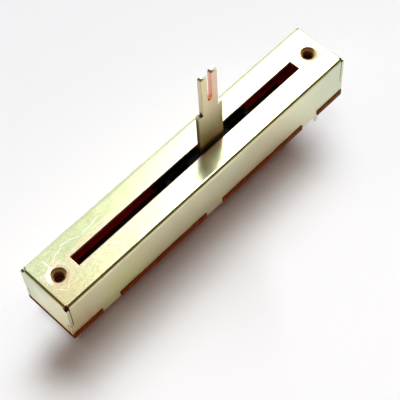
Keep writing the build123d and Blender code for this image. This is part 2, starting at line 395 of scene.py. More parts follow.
class RubMarks(Effect):
    """Fine random scratches, all roughly one way."""

    label = "rub_marks"
    takes = (PLACE, Plug("Turn", VECTOR, ORIGIN), Plug("Amount", FLOAT, 0.5))

    STRETCH = (60.0, 2600.0, 1300.0)
    CRESTS = (0.66, 0.74)
    PATCHES = 160.0
    PATCHY = (0.45, 0.65)

    def wire(self, graph: Graph, entry: Outputs) -> dict[str, Socket]:
        """Keep only the crests of long drawn noise; see Effect.wire."""
        feeds = {"Vector": entry["Place"], "Rotation": entry["Turn"], "Scale": self.STRETCH}
        drawn = graph.add("ShaderNodeMapping", feeds).outputs[0]
        crest = graph.remap(graph.noise(drawn, 1.0, detail=1.0), self.CRESTS)
        patchy = graph.remap(graph.noise(entry["Place"], self.PATCHES, detail=1.0), self.PATCHY)
        return {"Mask": graph.math("MULTIPLY", crest, patchy, entry["Amount"], clamp=True)}


class Mark(Effect):
    """An effect that fades from its middle out to an uneven rim."""

    WAVERS = 500.0
    LAYERS = 2.0
    RIM = (1.0, 0.25)

    def fade(self, graph: Graph, place: Socket, distance: Socket, reach: Socket) -> dict[str, Socket]:
        """Fade with the distance from the middle.

        Args:
            graph: the group's tree.
            place: the place on the part.
            distance: how far the place is from the middle.
            reach: how far the rim is, before it wavers.

        Returns:
            The mask, by name.
        """
        uneven = graph.plus(graph.noise(place, self.WAVERS, detail=self.LAYERS), 0.5)
        relative = graph.math("DIVIDE", graph.times(distance, uneven), reach)
        return {"Mask": graph.remap(relative, self.RIM)}


class DrawnScratch(Mark):
    """One scratch between two places."""

    label = "drawn_scratch"
    takes = (PLACE, Plug("Start", VECTOR, ORIGIN), Plug("End", VECTOR, ORIGIN), Plug("Width", FLOAT, 0.1 * MM))

    WAVERS = 1500.0
    LAYERS = 1.0
    RIM = (1.0, 0.35)

    def wire(self, graph: Graph, entry: Outputs) -> dict[str, Socket]:
        """Measure how far the place is from the line; see Effect.wire."""
        along = graph.vector("SUBTRACT", entry["End"], entry["Start"])
        reach = graph.vector("SUBTRACT", entry["Place"], entry["Start"])
        length = graph.vector("DOT_PRODUCT", along, along)
        share = graph.math("DIVIDE", graph.vector("DOT_PRODUCT", reach, along), length, clamp=True)
        nearest = graph.add("ShaderNodeVectorMath", {0: along, "Scale": share}, operation="SCALE").outputs[0]
        return self.fade(graph, entry["Place"], graph.vector("DISTANCE", reach, nearest), entry["Width"])


class Patch(Mark):
    """A soft round area round a place."""

    label = "patch"
    takes = (PLACE, Plug("Centre", VECTOR, ORIGIN), Plug("Radius", FLOAT, MM))

    def wire(self, graph: Graph, entry: Outputs) -> dict[str, Socket]:
        """Measure how far the place is from the centre; see Effect.wire."""
        distance = graph.vector("DISTANCE", entry["Place"], entry["Centre"])
        return self.fade(graph, entry["Place"], distance, entry["Radius"])

    @classmethod
    def near(cls, spot: Spot, centre: Point, radius: float) -> Socket:
        """The mask of a patch of a given radius round a centre."""
        return cls().put(spot.graph, Place=spot.place, Centre=centre, Radius=radius)["Mask"]


class Specks(Effect):
    """Sparse specks, such as fine dust or fillers that show at a surface."""

    label = "specks"
    takes = (PLACE, Plug("Spacing", FLOAT, 1200.0), Plug("Size", FLOAT, 0.12))

    EMPTY = 0.6

    def wire(self, graph: Graph, entry: Outputs) -> dict[str, Socket]:
        """Keep the middles of some random cells; see Effect.wire."""
        cells = graph.add("ShaderNodeTexVoronoi", {"Vector": entry["Place"], "Scale": entry["Spacing"]}).outputs
        middle = graph.under(cells["Distance"], entry["Size"])
        return {"Mask": graph.times(middle, graph.over(graph.split(cells["Color"])[0], self.EMPTY))}


def new_material(name: str) -> tuple[bpy.types.Material, Graph]:
    """Make a material with an empty tree.

    Args:
        name: the material's name.

    Returns:
        The material, and the graph of its tree.
    """
    made = bpy.data.materials.new(name)
    made.use_nodes = True
    made.node_tree.nodes.clear()
    return made, Graph(made.node_tree)


@dataclass(frozen=True)
class Finish:
    """What every finish has: the slot it is for, and how far and how strongly its edges are blunted."""

    slot: Slot
    edge_radius: float = 0.06 * MM
    edge_gain: float = 3.0

    def dress(self, graph: Graph, shader: Node) -> None:
        """Lay the finish's own nodes.

        Args:
            graph: the material's tree.
            shader: the material's Principled shader.
        """
        raise NotImplementedError

    def edges(self, graph: Graph) -> Outputs:
        """The mask and the rounded direction of the edges."""
        return EdgeWear().put(graph, Radius=self.edge_radius, Gain=self.edge_gain)

    def grain(
        self, graph: Graph, place: Socket, fineness: float, stretch: Point = Rolling.EVEN.value
    ) -> Outputs:
        """The height and the clouds of a sheet's grain, by how fine it is and how it is stretched."""
        return SheetGrain().put(graph, Place=place, Stretch=stretch, Fineness=fineness)

    def material(self) -> bpy.types.Material:
        """Make the material.

        Returns:
            The finished material.
        """
        made, graph = new_material(self.slot.value)
        shader = graph.add("ShaderNodeBsdfPrincipled")
        graph.add("ShaderNodeOutputMaterial", {0: shader.outputs[0]})
        self.dress(graph, shader)
        log.info("finish %s: %d nodes", self.slot.value, len(made.node_tree.nodes))
        return made


@dataclass(frozen=True)
class CaseSizes:
    """Where the case's faces, slot, holes and corner seams are."""

    half_length: float = 44.6 * MM
    half_width: float = 7.3 * MM
    face: float = 18.0 * MM
    bend_radius: float = 0.97 * MM
    inner_x: float = 42.8 * MM
    inner_y: float = 6.6 * MM
    roof: float = 17.3 * MM
    slot_half_length: float = 35.3 * MM
    slot_half_width: float = 1.45 * MM
    hole_x: float = 40.0 * MM
    bore_radius: float = 1.25 * MM
    mouth_radius: float = 2.1 * MM
    seam_reach: float = 1.4 * MM
    seam_depth: float = 0.42 * MM


CASE = CaseSizes()


class CaseZones(Spot):
    """Masks of the case's zones. Radii are from the nearer hole's axis, depths from the slotted face."""

    COLLAR = 1.4 * MM
    BORE = (1.75 * MM, 1.3 * MM)
    BORE_DEPTH = (0.05 * MM, 0.5 * MM)
    MOUTH = (1.85 * MM, 1.4 * MM)
    MOUTH_SLANT = 0.25
    MOUTH_SIDES = (-0.9 * MM, 0.9 * MM)
    MOUTH_WIDER = (0.0, 0.38 * MM)
    SKIN = 0.02 * MM
    FRINGE = (2.3 * MM, 0.0)

    def __init__(self, graph: Graph) -> None:
        """Measure the place along and across the case, from its holes and below its face.

        Args:
            graph: the material's tree.
        """
        super().__init__(graph)
        self.along = graph.unsigned(self.x)
        self.across = graph.unsigned(self.y)
        self.from_hole = graph.radius(graph.minus(self.along, CASE.hole_x), self.y)
        self.depth = graph.minus(CASE.face, self.z)

    def inside(self) -> Socket:
        """Find where the sheet faces the inside.

        Returns:
            The mask's output.
        """
        graph = self.graph
        within = graph.times(graph.under(self.along, CASE.inner_x), graph.under(self.across, CASE.inner_y))
        return graph.times(within, graph.under(self.z, CASE.roof), graph.over(self.from_hole, self.COLLAR))

    def bore(self) -> Socket:
        """The mask of the tapped bores."""
        down = self.graph.remap(self.depth, self.BORE_DEPTH)
        return self.graph.times(self.graph.remap(self.from_hole, self.BORE), down)

    def mouth(self) -> Socket:
        """Find the ring of painted shade on the rounded mouths, widest towards +X.

        Returns:
            The mask's output.
        """
        graph = self.graph
        ahead = graph.plus(graph.plus(self.x, CASE.hole_x), graph.times(self.y, self.MOUTH_SLANT))
        wider = graph.remap(ahead, self.MOUTH_SIDES, self.MOUTH_WIDER)
        return graph.remap(graph.minus(self.from_hole, wider), self.MOUTH)

    def seams(self) -> Socket:
        """Find the sheet's cut edges in the corner seams and relief holes, below its outer faces.

        Returns:
            The mask's output.
        """
        graph = self.graph
        over_top = graph.past(self.z, CASE.face - CASE.bend_radius)
        depths = []
        for place, half in ((self.along, CASE.half_length), (self.across, CASE.half_width)):
            over_side = graph.past(place, half - CASE.bend_radius)
            depths.append(graph.minus(CASE.bend_radius, graph.radius(over_side, over_top)))
        depth = graph.least(*depths)
        below = graph.times(graph.over(depth, self.SKIN), graph.under(depth, CASE.seam_depth))
        near_end = graph.over(self.along, CASE.half_length - CASE.seam_reach)
        return graph.times(below, near_end, graph.over(self.across, CASE.half_width - CASE.seam_reach))

    def fringe(self) -> Socket:
        """Find how near the place is to the slot or to a hole, where a rose fringe of glow is painted.

        Returns:
            The mask's output, 1 at the edge.
        """
        graph = self.graph
        over_x = graph.past(self.along, CASE.slot_half_length)
        over_y = graph.past(self.across, CASE.slot_half_width)
        from_mouth = graph.past(self.from_hole, CASE.mouth_radius)
        return graph.remap(graph.least(graph.plus(over_x, over_y), from_mouth), self.FRINGE)


@dataclass(frozen=True)
class Scratch:
    """A scratch on the slotted face, as places along it in millimetres, and its width."""

    places: tuple[tuple[float, float], ...]
    width: float = 0.09


@dataclass(frozen=True)
class Bloom:
    """A tinted cloud on a wall, as its centre and radius in millimetres, and its colour."""

    centre: Point
    radius: float
    colour: Colour


@dataclass(frozen=True)
class PlatedSteel(Finish):
    """Zinc plated steel with a yellowish film, with painted red bounce light where it faces the inside of the
    case, and painted shade in its bores, mouths, seams and parts of its walls.
    """

    scratches: tuple[Scratch, ...] = (
        Scratch(((-40.1, 5.0), (-39.9, 2.4)), 0.14),
        Scratch(((-38.9, 3.0), (-37.1, 4.2), (-35.4, 4.4), (-34.9, 5.0), (-32.5, 4.6), (-30.6, 3.8))),
        Scratch(((-29.1, 3.8), (-27.2, 3.9), (-24.5, 4.4))),
        Scratch(((-42.9, 2.4), (-41.5, 1.9), (-40.2, 2.1))),
        Scratch(((-39.8, -3.4), (-41.0, -4.0), (-42.4, -2.3)), 0.06),
        Scratch(((-27.7, -1.9), (-24.6, -4.7)), 0.08),
    )
    blooms: tuple[Bloom, ...] = (
        Bloom((-28.0, -7.3, 8.0), 12.0, (0.90, 0.92, 0.38)),
        Bloom((-42.0, -7.3, 6.5), 8.0, (0.97, 0.68, 0.33)),
        Bloom((-44.0, -7.3, 14.5), 10.0, (0.85, 0.73, 0.44)),
        Bloom((6.0, -7.3, 13.0), 8.0, (0.84, 0.85, 0.60)),
        Bloom((-44.6, 1.0, 12.0), 5.0, (0.90, 0.83, 0.66)),
    )

    NEAR_BAND_TONE = (0.87, 0.90, 0.86)
    WALL_BEIGE = (0.90, 0.84, 0.59)
    WALL_PAINTED_SHADE = (0.61, 0.63, 0.50)
    WALL_LOW_TINT = Tint((0.90, 0.78, 0.44))
    SEAM_SHADE_DARK = (0.07, 0.048, 0.024)
    SEAM_SHADE_PALE = (0.62, 0.55, 0.32)
    SEAM_SHADE_BROWN = (0.36, 0.26, 0.12)
    BORE_PAINTED_SHADE = (0.09, 0.03, 0.008)
    COLLAR_BROWN = (0.60, 0.30, 0.12)
    MOUTH_PAINTED_SHADE = Tint((0.66, 0.46, 0.20))
    INSIDE_PAINTED_RED_LIGHT = Tint((0.85, 0.17, 0.08), 0.8)
    PAINTED_GLOW_ROSE = Tint((0.90, 0.74, 0.56), 0.8)
    CORNER_BROWN = Tint((0.68, 0.53, 0.29))
    GRAIN_GOLD = Tint((0.64, 0.60, 0.29))
    SCRATCHED = Tint((0.93, 0.92, 0.82), 0.8)
    WORN_EDGE = Tint((0.93, 0.92, 0.82), 0.35)

    FACES_UP = (0.35, 0.95)
    FACES_END = (0.5, 0.9)
    WALL_SHARE = 0.72
    BLOOM_SHARE = 0.65
    BORE_SHARE = 0.9
    FINENESS = 5200.0
    FILM_PATCHES = 95.0
    FILM_SHIFT = -0.24
    BAND_SLANT = 1.9
    BAND_STARTS = (-16.0 * MM, -32.0 * MM)
    BAND_ENDS = (-54.0 * MM, -38.0 * MM)
    SHADE_ALONG = (22.0 * MM, 42.0 * MM)
    SHADE_ACROSS = (-5.0 * MM, MM)
    LOW_TINT_HEIGHTS = (11.5 * MM, 5.5 * MM)
    LOW_TINT_PATCHES = 120.0
    LOW_TINT_SPREAD = (0.35, 0.65)
    MOTTLE_CELLS = 2300.0
    MOTTLED = (0.42, 0.72)
    FRECKLED = 0.6
    GRAINIER_TO = (0.0, -30.0 * MM)
    GRAIN_STRENGTH = (0.2, 0.8)
    CORNER_RADIUS = 12.0 * MM
    LIP_DEPTH = (1.2 * MM, 0.6 * MM)
    RUBBED_TURN = (0.0, 0.0, 0.7)
    RUBBED_AMOUNT = 0.55
    SATIN = (0.18, 0.23)
    MARKS_ROUGH = 0.12
    WALL_ROUGH = 0.17
    HIDDEN_ROUGH = 0.15
    BORE_DULLED = 0.8
    MARKS_CUT = 0.5
    GRAIN_DEPTH = 0.004 * MM

    def film(self, zones: CaseZones) -> Socket:
        """Colour the film as it shows from above, darker in a slanted band across the near end.

        Args:
            zones: the case's zones.

        Returns:
            The colour's output.
        """
        graph = zones.graph
        film = PassivationFilm().put(graph, Place=zones.place, Patches=self.FILM_PATCHES, Shift=self.FILM_SHIFT)
        slant = graph.minus(zones.x, graph.times(zones.y, self.BAND_SLANT))
        band = graph.times(graph.remap(slant, self.BAND_STARTS), graph.remap(slant, self.BAND_ENDS))
        # A darker band slanting across the near end.
        return graph.mix(band, film["Colour"], self.NEAR_BAND_TONE, "MULTIPLY")

    def wall(self, zones: CaseZones) -> Socket:
        """Colour the walls: beige, with painted shade towards the far end of the sides and towards +Y on the
        ends, yellower low down in patches, and tinted in clouds.

        Args:
            zones: the case's zones.

        Returns:
            The colour's output.
        """
        graph = zones.graph
        # Painted shade: the sides darken towards the far end, the ends towards +Y.
        side = graph.mix(graph.remap(zones.x, self.SHADE_ALONG), self.WALL_BEIGE, self.WALL_PAINTED_SHADE)
        end = graph.mix(graph.remap(zones.y, self.SHADE_ACROSS), self.WALL_BEIGE, self.WALL_PAINTED_SHADE)
        wall = graph.mix(graph.remap(graph.unsigned(zones.facing_x), self.FACES_END), side, end)
        # The walls turn yellower low down, in patches.
        low = graph.remap(zones.z, self.LOW_TINT_HEIGHTS)
        patchy = graph.remap(graph.noise(zones.place, self.LOW_TINT_PATCHES), self.LOW_TINT_SPREAD)
        wall = graph.tint(wall, self.WALL_LOW_TINT, low, patchy)
        for bloom in self.blooms:
            centre = tuple(part * MM for part in bloom.centre)
            mask = Patch.near(zones, centre, bloom.radius * MM)
            wall = graph.tint(wall, Tint(bloom.colour, self.BLOOM_SHARE), mask)
        return wall

    def aged(self, zones: CaseZones, colour: Socket, upward: Socket) -> Socket:
        """Paint a glow fringe by the slot and holes and shade on the mouths, and mottle the face, most of all
        at the near corner.

        Args:
            zones: the case's zones.
            colour: the clean colour.
            upward: where the sheet faces up.

        Returns:
            The colour's output.
        """
        graph = zones.graph
        # Painted light: a rose glow fringe round the slot and hole edges.
        colour = graph.tint(colour, self.PAINTED_GLOW_ROSE, zones.fringe())
        # Painted shade: the rounded mouths darken, widest towards +X.
        colour = graph.tint(colour, self.MOUTH_PAINTED_SHADE, zones.mouth())
        mottle = graph.remap(graph.noise(zones.place, self.MOTTLE_CELLS, rough=0.7), self.MOTTLED)
        grainier = graph.remap(zones.x, self.GRAINIER_TO, self.GRAIN_STRENGTH)
        colour = graph.tint(colour, self.GRAIN_GOLD, mottle, grainier, upward)
        near_corner = (-CASE.half_length, -CASE.half_width, CASE.face)
        corner = Patch.near(zones, near_corner, self.CORNER_RADIUS)
        freckle = graph.plus(1.0 - self.FRECKLED, graph.times(mottle, self.FRECKLED))
        return graph.tint(colour, self.CORNER_BROWN, corner, freckle, upward)

    def marks(self, zones: CaseZones) -> Socket:
        """Gather all the scratches of the slotted face.

        Args:
            zones: the case's zones.

        Returns:
            The mask's output.
        """
        graph = zones.graph
        rubbed = RubMarks().put(graph, Place=zones.place, Turn=self.RUBBED_TURN, Amount=self.RUBBED_AMOUNT)
        masks = [rubbed["Mask"]]
        for scratch in self.scratches:
            points = [(x * MM, y * MM, CASE.face) for x, y in scratch.places]
            for start, end in zip(points, points[1:]):
                feeds = {"Place": zones.place, "Start": start, "End": end, "Width": scratch.width * MM}
                masks.append(DrawnScratch().put(graph, **feeds)["Mask"])
        return graph.most(*masks)

    def dress(self, graph: Graph, shader: Node) -> None:
        """Plate, film, painted light and shade, scratches and grain; see Finish.dress."""
        zones = CaseZones(graph)
        upward = graph.remap(zones.facing_z, self.FACES_UP)
        upright = graph.minus(1.0, upward)
        edges = self.edges(graph)
        grain = self.grain(graph, zones.place, self.FINENESS)
        colour = graph.mix(graph.times(upright, self.WALL_SHARE), self.film(zones), self.wall(zones))
        colour = self.aged(zones, colour, upward)
        marks = self.marks(zones)
        colour = graph.tint(colour, self.SCRATCHED, marks)
        colour = graph.tint(colour, self.WORN_EDGE, edges["Mask"])
        hidden = zones.inside()
        bore = zones.bore()
        seams = zones.seams()
        # Painted light: the inside faces take the red of light bounced off the board.
        colour = graph.tint(colour, self.INSIDE_PAINTED_RED_LIGHT, hidden)
        # Painted shade in the bores: brown at the collar, near black deeper down.
        collar = graph.mix(graph.remap(zones.depth, self.LIP_DEPTH), self.BORE_PAINTED_SHADE, self.COLLAR_BROWN)
        colour = graph.mix(graph.times(bore, self.BORE_SHARE), colour, collar)
        # Painted shade in the corner seams and relief holes: darkest on the -Y side, brown on the +Y side,
        # paler at the far end.
        seam_shade = graph.mix(graph.over(zones.y, 0.0), self.SEAM_SHADE_DARK, self.SEAM_SHADE_BROWN)
        seam_shade = graph.mix(graph.over(zones.x, 0.0), seam_shade, self.SEAM_SHADE_PALE)
        rough = graph.remap(grain["Cloud"], SheetGrain.CLOUDS, self.SATIN)
        covered = graph.most(hidden, bore, seams)
        for mask, more in ((marks, self.MARKS_ROUGH), (upright, self.WALL_ROUGH), (covered, self.HIDDEN_ROUGH)):
            rough = graph.plus(rough, graph.times(mask, more))
        height = graph.minus(grain["Height"], graph.times(marks, self.MARKS_CUT))
        graph.feed(shader, {
            "Base Color": graph.mix(seams, colour, seam_shade),
            "Metallic": graph.minus(1.0, graph.times(bore, self.BORE_DULLED)),
            "Roughness": rough,
            "Normal": graph.bump(height, self.GRAIN_DEPTH, Normal=edges["Normal"]),
        })


@dataclass(frozen=True)
class PaperLaminate(Finish):
    """Resin bonded paper board: glossy faces, and sheared edges that show its layers."""

    red_from_x: float = -37.5 * MM
    red_to_x: float = 42.0 * MM
    red_from_y: float = -3.6 * MM
    inner_y: float = 6.6 * MM

    FACE = (0.17, 0.020, 0.010)
    FACE_LIGHT = (0.22, 0.034, 0.016)
    UPPER_PAINTED_LIGHT_RED = Tint((0.90, 0.020, 0.007), 0.9)
    LEDGE_BROWN = Tint((0.20, 0.045, 0.008))
    EDGE = (0.19, 0.027, 0.006)
    EDGE_LIGHT = (0.35, 0.075, 0.016)
    PALER_EDGE_TINT = Tint((0.30, 0.155, 0.042), 0.75)
    DUST = Tint(EDGE_LIGHT, 0.4)
    WORN = Tint(EDGE_LIGHT)

    FACES_UP = 0.7
    FACES_SIDE = (0.7, 0.3)
    FACES_NEAR_END = (-0.5, -0.9)
    FIBRE_STRETCH = (0.3, 1.0, 1.0)
    FIBRES = 3200.0
    FIBRE_LIGHTS = (0.4, 1.0)
    LAYER_STRETCH = (0.04, 0.04, 1.0)
    LAYERS = 9000.0
    LAYER_LIGHTS = (0.4, 0.68)
    PALER_ACROSS = (-6.5 * MM, -2.0 * MM)
    PALER_ALONG = (10.0 * MM, 40.0 * MM)
    DUST_SPACING = 900.0
    DUST_SIZE = 0.1
    ROUGH = 0.42
    SIDE_ROUGH = 0.3
    GLOSS = 0.3
    GRAIN_DEPTH = 0.005 * MM

    def upper(self, spot: Spot, face: Socket) -> tuple[Socket, Socket]:
        """Colour the upper face: painted light as vivid red inside the case, brown on the ledge outside its
        walls.

        Args:
            spot: the place on the part.
            face: the colour of both faces.

        Returns:
            The colour's output, and the ledge's mask.
        """
        graph = spot.graph
        upward = graph.over(spot.facing_z, self.FACES_UP)
        within = graph.under(graph.unsigned(spot.y), self.inner_y)
        along = graph.times(graph.over(spot.x, self.red_from_x), graph.under(spot.x, self.red_to_x))
        across = graph.times(within, graph.over(spot.y, self.red_from_y))
        ledge = graph.times(upward, graph.minus(1.0, within))
        # Painted light: the upper face inside the case is brightened to a vivid red.
        face = graph.tint(face, self.UPPER_PAINTED_LIGHT_RED, upward, along, across)
        return graph.tint(face, self.LEDGE_BROWN, ledge), ledge

    def sheared(self, spot: Spot, layered: Socket) -> Socket:
        """Colour the sheared edges: layered, and paler at the near end and along the far part.

        Args:
            spot: the place on the part.
            layered: the noise of the layers.

        Returns:
            The colour's output.
        """
        graph = spot.graph
        edge = graph.mix(graph.remap(layered, self.LAYER_LIGHTS), self.EDGE, self.EDGE_LIGHT)
        near_end = graph.remap(spot.facing_x, self.FACES_NEAR_END)
        near_end = graph.times(near_end, graph.remap(spot.y, self.PALER_ACROSS))
        # Paler at the near end and along the far part.
        paler_edge_share = graph.most(near_end, graph.remap(spot.x, self.PALER_ALONG))
        return graph.tint(edge, self.PALER_EDGE_TINT, paler_edge_share)

    def dress(self, graph: Graph, shader: Node) -> None:
        """Resin face, layered edge and fibres; see Finish.dress."""
        spot = Spot(graph)
        side = graph.remap(graph.unsigned(spot.facing_z), self.FACES_SIDE)
        edges = self.edges(graph)
        fibres = self.grain(graph, spot.place, self.FIBRES, self.FIBRE_STRETCH)
        layered = graph.noise(graph.vector("MULTIPLY", spot.place, self.LAYER_STRETCH), self.LAYERS)
        face = graph.mix(graph.remap(fibres["Height"], self.FIBRE_LIGHTS), self.FACE, self.FACE_LIGHT)
        face, ledge = self.upper(spot, face)
        colour = graph.mix(side, face, self.sheared(spot, layered))
        dust = Specks().put(graph, Place=spot.place, Spacing=self.DUST_SPACING, Size=self.DUST_SIZE)["Mask"]
        colour = graph.tint(colour, self.DUST, dust)
        dull = graph.times(graph.most(side, ledge), self.GLOSS)
        height = graph.plus(fibres["Height"], layered)
        graph.feed(shader, {
            "Base Color": graph.tint(colour, self.WORN, edges["Mask"]),
            "Roughness": graph.plus(self.ROUGH, graph.times(side, self.SIDE_ROUGH)),
            "Specular IOR Level": graph.minus(self.GLOSS, dull),
            "Normal": graph.bump(height, self.GRAIN_DEPTH, Normal=edges["Normal"]),
        })


@dataclass(frozen=True)
class PrintedFilm(Finish):
    """Ink printed through a screen and baked: carbon for the tracks, silver for the pads."""

    ink: Colour = (0.022, 0.023, 0.025)
    worn: Colour = (0.050, 0.052, 0.055)
    metal: float = 0.0
    rough: float = 0.42
    polish: float = 0.15
    clouding: float = 0.5
    mesh: float = 6500.0
    mesh_depth: float = 0.004 * MM

    def dress(self, graph: Graph, shader: Node) -> None:
        """Ink, mesh mottle and the lines that the wiper polishes; see Finish.dress."""
        place = graph.place()
        mottle = self.grain(graph, place, self.mesh)
        lines = RubMarks().put(graph, Place=place, Turn=ORIGIN, Amount=1.0)["Mask"]
        lighter = graph.math("ADD", graph.times(mottle["Cloud"], self.clouding), lines, clamp=True)
        graph.feed(shader, {
            "Base Color": graph.mix(lighter, self.ink, self.worn),
            "Metallic": self.metal,
            "Roughness": graph.minus(self.rough, graph.times(lines, self.polish)),
            "Normal": graph.bump(mottle["Height"], self.mesh_depth),
        })


@dataclass(frozen=True)
class SpringSheet(Finish):
    """Rolled or plated strip: a bright face with grain, and sheared edges of another tone."""

    face: Colour = (0.72, 0.71, 0.66)
    cloud: Colour = (0.62, 0.62, 0.60)
    sheared: Colour = (0.74, 0.58, 0.32)
    rough: float = 0.3
    rolling: Rolling = Rolling.ALONG_X
    fineness: float = 6000.0
    clouds: Span = (0.35, 0.65)
    satin: Span = (-0.05, 0.08)
    marks_turn: Point = (0.0, 0.0, 0.3)
    marks_amount: float = 0.5
    grain_depth: float = 0.003 * MM

    def dress(self, graph: Graph, shader: Node) -> None:
        """Face, clouding, sheared edges and grain; see Finish.dress."""
        place = graph.place()
        edges = self.edges(graph)
        grain = self.grain(graph, place, self.fineness, self.rolling.value)
        colour = graph.mix(graph.remap(grain["Cloud"], self.clouds), self.face, self.cloud)
        marks = RubMarks().put(graph, Place=place, Turn=self.marks_turn, Amount=self.marks_amount)["Mask"]
        satin = (self.rough + self.satin[0], self.rough + self.satin[1])
        graph.feed(shader, {
            "Base Color": graph.mix(graph.most(edges["Mask"], marks), colour, self.sheared),
            "Metallic": 1.0,
            "Roughness": graph.remap(grain["Height"], SheetGrain.HEIGHTS, satin),
            "Normal": graph.bump(grain["Height"], self.grain_depth, Normal=edges["Normal"]),
        })


@dataclass(frozen=True)
class LeverSteel(Finish):
    """The lever's plated blade: grain up its length, rose and green clouds, tinted cut edges, and painted light
    and shade on its foot, arrises, notches and blunt tips.
    """

    centre: float = 6.8 * MM
    half_thickness: float = 0.55 * MM
    half_stem: float = 2.4 * MM
    half_gap: float = 0.65 * MM
    shoulder: float = 30.4 * MM
    fork: float = 34.75 * MM
    tip: float = 42.8 * MM

    BEIGE = (0.84, 0.75, 0.48)
    ROSE = (0.88, 0.66, 0.46)
    STRAW = (0.74, 0.64, 0.35)
    SEA_GREEN = (0.68, 0.69, 0.45)
    FOOT_PAINTED_SHADE = Tint((0.66, 0.47, 0.19))
    FOOT_EDGE_SHADE = (0.16, 0.11, 0.02)
    FOOT_EDGE_HIGHLIGHT = (0.62, 0.52, 0.36)
    PALE_EDGE = (0.74, 0.69, 0.47)
    PINK_EDGE = Tint((0.88, 0.52, 0.40))
    ARRIS_PAINTED_SHADE = (0.22, 0.15, 0.09)
    GLINT = Tint((1.0, 0.42, 0.16))
    NOTCH_PAINTED_SHADE = Tint((0.12, 0.06, 0.02))
    CAP_PAINTED_SHADE = (0.24, 0.15, 0.08)
    PAINTED_WHITE_LIGHT = (0.93, 0.91, 0.80)
    ARRIS_PAINTED_HIGHLIGHT = (0.95, 0.91, 0.78)

    FACES_ALONG = (0.7, 0.3)
    STEM_HEIGHTS = (25.0 * MM, 34.4 * MM)
    FOOT_SHADE_HEIGHTS = (25.0 * MM, 18.0 * MM)
    PALE_HEIGHTS = (28.9 * MM, 30.6 * MM)
    PINK_FROM = 33.75 * MM
    PINK_HALF_WIDTH = 0.75 * MM
    PRONG_TURNS = (-MM, MM)
    CLOUD_CELLS = 330.0
    CLOUDS = (0.4, 0.65)
    FINENESS = 5000.0
    CAP_HEIGHTS = (-0.1 * MM, 0.1 * MM)
    CAP_SLANT = 1.6
    WHITE_FROM = (0.15 * MM, 0.45 * MM)
    ARRIS_SHARE = 0.75
    SATIN = (0.34, 0.40)
    SIDE_ROUGH = 0.12
    GRAIN_DEPTH = 0.0008 * MM

    def blade(self, spot: Spot, aside: Socket, high: Socket) -> Socket:
        """Colour the broad faces: painted brown shade at the foot, clouded above, beige and rose on the prongs.

        Args:
            spot: the place on the part.
            aside: how far +X of the lever's middle the place is.
            high: where the stem begins.

        Returns:
            The colour's output.
        """
        graph = spot.graph
        cloud = graph.noise(spot.place, self.CLOUD_CELLS)
        blade = graph.mix(graph.remap(cloud, self.CLOUDS), self.STRAW, self.SEA_GREEN)
        # Painted shade: the foot turns brown towards the slot.
        blade = graph.tint(blade, self.FOOT_PAINTED_SHADE, graph.remap(spot.z, self.FOOT_SHADE_HEIGHTS))
        prongs = graph.mix(graph.remap(aside, self.PRONG_TURNS), self.BEIGE, self.ROSE)
        return graph.mix(high, blade, prongs)

    def cut_edge(self, spot: Spot, from_centre: Socket) -> Socket:
        """Colour the cut edges: at the foot painted shade with a painted highlight at the front, pale on the
        stem, pink between the prongs.

        Args:
            spot: the place on the part.
            from_centre: how far the place is from the lever's middle.

        Returns:
            The colour's output.
        """
        graph = spot.graph
        deep = graph.remap(spot.y, (-self.half_thickness, self.half_thickness / 2))
        # Painted light and shade: the foot's cut edge is dark behind, with a highlight at the front.
        foot_edge_light = graph.mix(deep, self.FOOT_EDGE_HIGHLIGHT, self.FOOT_EDGE_SHADE)
        tint = graph.mix(graph.remap(spot.z, self.PALE_HEIGHTS), foot_edge_light, self.PALE_EDGE)
        between = graph.under(from_centre, self.PINK_HALF_WIDTH)
        return graph.tint(tint, self.PINK_EDGE, between, graph.over(spot.z, self.PINK_FROM))

    def spots(self) -> tuple[tuple[Point, float, Tint], ...]:
        """List the spots of painted light and shade on the cut edges: both shoulders, the fork's hollow and its
        lip.

        Returns:
            Each spot's centre, radius and tint.
        """
        left, right = self.centre - self.half_stem, self.centre + self.half_stem
        hollow = (self.centre + 0.5 * self.half_gap, 0.0, self.fork - 0.2 * MM)
        lip = (self.centre - 0.4 * self.half_gap, -self.half_thickness, self.fork - self.half_gap)
        return (
            ((left, 0.0, self.shoulder), 1.2 * MM, self.NOTCH_PAINTED_SHADE),
            ((right, 0.0, self.shoulder), 1.1 * MM, Tint(self.PAINTED_WHITE_LIGHT)),
            (hollow, 1.2 * MM, self.GLINT),
            (lip, 0.7 * MM, self.NOTCH_PAINTED_SHADE),
        )

    def capped(self, spot: Spot, colour: Socket, aside: Socket, from_centre: Socket) -> Socket:
        """Colour the blunt tips, with a painted highlight on one half of each and painted shade on the other,
        along a slant.

        Args:
            spot: the place on the part.
            colour: the colour below the tips.
            aside: how far +X of the lever's middle the place is.
            from_centre: the same without its sign.

        Returns:
            The colour's output.
        """
        graph = spot.graph
        over_tip = graph.minus(spot.z, self.tip)
        in_prong = graph.minus(from_centre, (self.half_gap + self.half_stem) / 2)
        onward = graph.times(in_prong, graph.math("SIGN", aside))
        slanted = graph.plus(onward, graph.times(over_tip, self.CAP_SLANT))
        # Painted highlight and painted shade on the tips.
        cap = graph.mix(graph.remap(slanted, self.WHITE_FROM), self.CAP_PAINTED_SHADE, self.PAINTED_WHITE_LIGHT)
        return graph.mix(graph.remap(over_tip, self.CAP_HEIGHTS), colour, cap)

